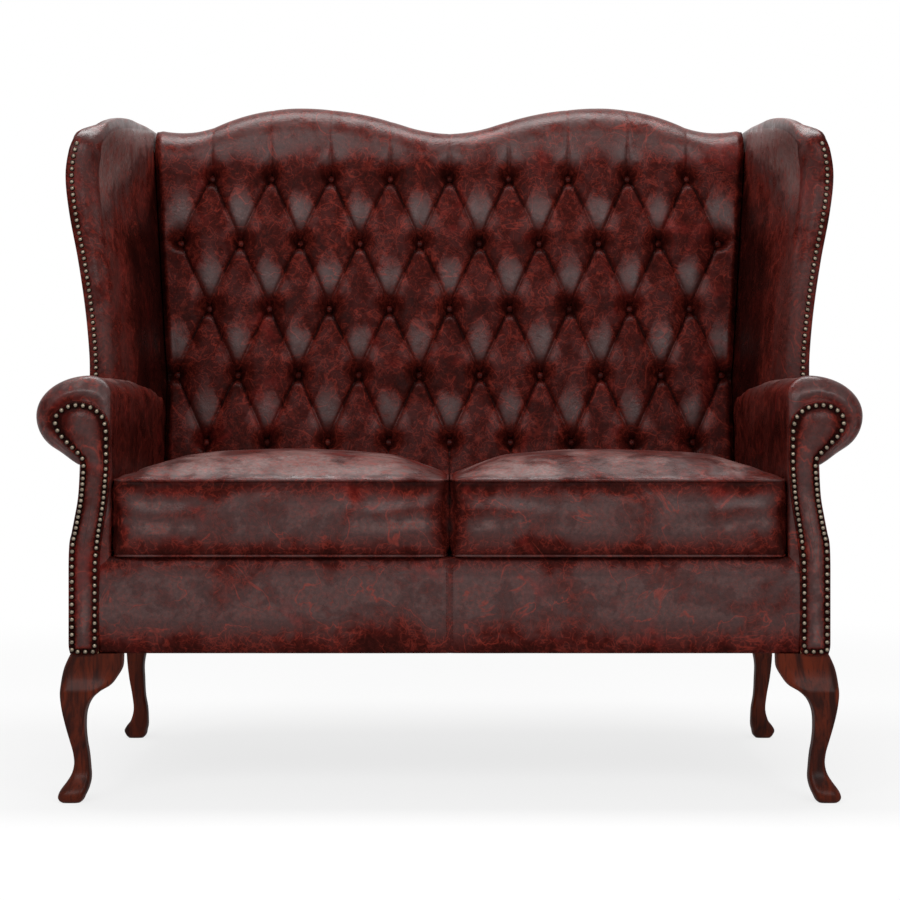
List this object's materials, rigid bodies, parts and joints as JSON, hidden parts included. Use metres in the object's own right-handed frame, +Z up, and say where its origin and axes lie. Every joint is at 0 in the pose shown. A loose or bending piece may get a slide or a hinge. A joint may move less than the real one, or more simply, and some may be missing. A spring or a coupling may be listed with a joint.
{
  "type": "chesterfield sofa",
  "caption": "High-back wing sofa in antique oxblood leather with a deep-buttoned back, rolled arms with nail-trimmed scroll facings, loose seat cushions and cabriole legs.",
  "frame": {"origin": "on the floor under the middle of the sofa's box", "axes": "+X to the right seen from the front, +Y from front to back, +Z up"},
  "size_m": [1.283, 0.8412, 1.2012],
  "materials": {
    "leather": "antique rub-off, satin",
    "beech": "planed",
    "mahogany": "gloss lacquer",
    "brass": "antique",
    "steel": "zinc plated",
    "webbing": "woven",
    "lining": "plain cloth",
    "foam": "open cell"
  },
  "bodies": {
    "frame": {"back_buttons": "leather", "back_lower_rail": "beech", "back_top_rail": "beech", "back_webbing": "webbing", "corner_blocks": "beech", "dust_cover": "lining", "front_border": "leather", "left_arm_board": "beech", "left_arm_facing": "leather", "left_arm_front_post": "beech", "left_arm_nails": "brass", "left_arm_pad": "leather", "left_back_post": "beech", "left_back_upright": "beech", "left_front_leg": "mahogany", "left_outside_arm": "leather", "left_outside_wing": "leather", "left_rear_leg": "mahogany", "left_seat_side_rail": "beech", "left_wing_board": "beech", "left_wing_nails": "brass", "left_wing_pad": "leather", "leg_bolts": "steel", "outside_back": "leather", "right_arm_board": "beech", "right_arm_facing": "leather", "right_arm_front_post": "beech", "right_arm_nails": "brass", "right_arm_pad": "leather", "right_back_post": "beech", "right_back_upright": "beech", "right_front_leg": "mahogany", "right_outside_arm": "leather", "right_outside_wing": "leather", "right_rear_leg": "mahogany", "right_seat_side_rail": "beech", "right_wing_board": "beech", "right_wing_nails": "brass", "right_wing_pad": "leather", "seat_back_rail": "beech", "seat_front_rail": "beech", "seat_platform": "lining", "seat_webbing": "webbing", "tufted_back_pad": "leather"},
    "left_cushion": {"left_seat_cushion_core": "foam", "left_seat_cushion_cover": "leather"},
    "right_cushion": {"right_seat_cushion_core": "foam", "right_seat_cushion_cover": "leather"}
  },
  "joints": [
    {"name": "left_cushion_lift", "type": "slide", "parent": "frame", "child": "left_cushion", "axis": [0, 0, 1], "range_m": [0, 0.3]},
    {"name": "right_cushion_lift", "type": "slide", "parent": "frame", "child": "right_cushion", "axis": [0, 0, 1], "range_m": [0, 0.3]}
  ]
}
